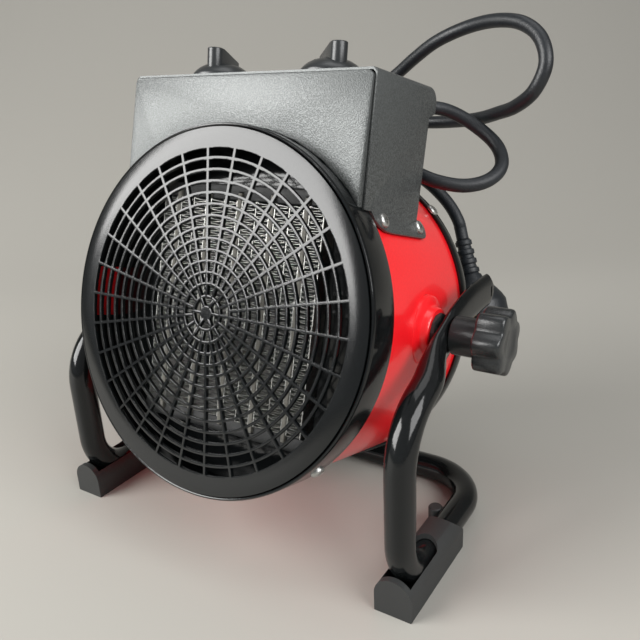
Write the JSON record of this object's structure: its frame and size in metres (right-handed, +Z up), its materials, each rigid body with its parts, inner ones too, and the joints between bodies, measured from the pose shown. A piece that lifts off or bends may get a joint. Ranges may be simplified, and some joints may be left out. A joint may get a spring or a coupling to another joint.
{
  "type": "forced air heater",
  "caption": "Round workshop fan heater that tilts between hand-tightened clamps in a bent tube stand, with a control box, dials and a coiled mains lead.",
  "frame": {"origin": "on the floor under the middle of the object, at the height of the feet's soles", "axes": "+Z up; -Y is the side that the warm air leaves; +X runs along the clamps' axis"},
  "size_m": [0.2852, 0.235, 0.2868],
  "materials": {
    "red_paint": "gloss red powder coat",
    "gloss_black_paint": "gloss black powder coat",
    "satin_black_paint": "satin black powder coat",
    "textured_black_paint": "fine textured charcoal powder coat",
    "black_plastic": "matte moulded",
    "gloss_black_plastic": "gloss moulded",
    "rubber": "smooth rubber sheath",
    "steel": "bright zinc",
    "brass": "plain",
    "aluminium": "dull rolled strip",
    "ceramic": "matte ivory"
  },
  "bodies": {
    "stand": {"stand_tube": "gloss_black_paint", "foot_right": "black_plastic", "foot_left": "black_plastic", "clamp_collar_right": "gloss_black_plastic", "clamp_collar_left": "gloss_black_plastic"},
    "heater": {"drum_shell": "red_paint", "front_band": "gloss_black_paint", "front_grille": "satin_black_paint", "rear_band": "gloss_black_paint", "rear_grille": "satin_black_paint", "toothed_washer_right": "black_plastic", "toothed_washer_left": "black_plastic", "clamp_bolt_right": "steel", "clamp_bolt_left": "steel", "core_fins": "aluminium", "ceramic_bar_1": "ceramic", "ceramic_bar_2": "ceramic", "ceramic_bar_3": "ceramic", "ceramic_bar_4": "ceramic", "ceramic_bar_5": "ceramic", "core_holder_top": "black_plastic", "core_holder_bottom": "black_plastic", "thermal_cutout": "steel", "baffle": "satin_black_paint", "motor": "steel", "motor_bracket": "steel", "box_cover": "textured_black_paint", "box_front_panel": "textured_black_paint", "box_rear_panel": "textured_black_paint", "mode_switch": "black_plastic", "thermostat": "steel", "lead_gland": "rubber", "lead_tail": "rubber", "lead_coil": "rubber", "lead": "rubber", "lead_tie": "gloss_black_plastic", "lead_plug": "rubber"},
    "clamp_knob_right": {"clamp_knob_right": "gloss_black_plastic"},
    "clamp_knob_left": {"clamp_knob_left": "gloss_black_plastic"},
    "mode_knob": {"mode_dial": "black_plastic", "mode_spindle": "steel"},
    "thermostat_knob": {"thermostat_dial": "black_plastic", "thermostat_spindle": "steel"},
    "fan_rotor": {"fan": "black_plastic", "motor_shaft": "steel", "fan_nut": "brass"}
  },
  "joints": [
    {"name": "heater_tilt", "type": "hinge", "parent": "stand", "child": "heater", "pos_m": [0, 0.00629, 0.126], "axis": [-1, 0, 0], "range_deg": [-16.7, 25]},
    {"name": "clamp_turn_right", "type": "hinge", "parent": "stand", "child": "clamp_knob_right", "pos_m": [0.135, 0.00629, 0.126], "axis": [1, 0, 0], "range_deg": [0, 360]},
    {"name": "clamp_turn_left", "type": "hinge", "parent": "stand", "child": "clamp_knob_left", "pos_m": [-0.135, 0.00629, 0.126], "axis": [-1, 0, 0], "range_deg": [0, 360]},
    {"name": "mode_turn", "type": "hinge", "parent": "heater", "child": "mode_knob", "pos_m": [-0.0375, 0.01406, 0.25733], "axis": [0, 0.1925, 0.9813], "range_deg": [-135, 0]},
    {"name": "thermostat_turn", "type": "hinge", "parent": "heater", "child": "thermostat_knob", "pos_m": [0.0375, 0.01406, 0.25733], "axis": [0, 0.1925, 0.9813], "range_deg": [-200, 100]},
    {"name": "fan_spin", "type": "hinge", "parent": "heater", "child": "fan_rotor", "pos_m": [0, 0.01692, 0.11968], "axis": [0, 0.9578, -0.2874], "continuous": true}
  ]
}
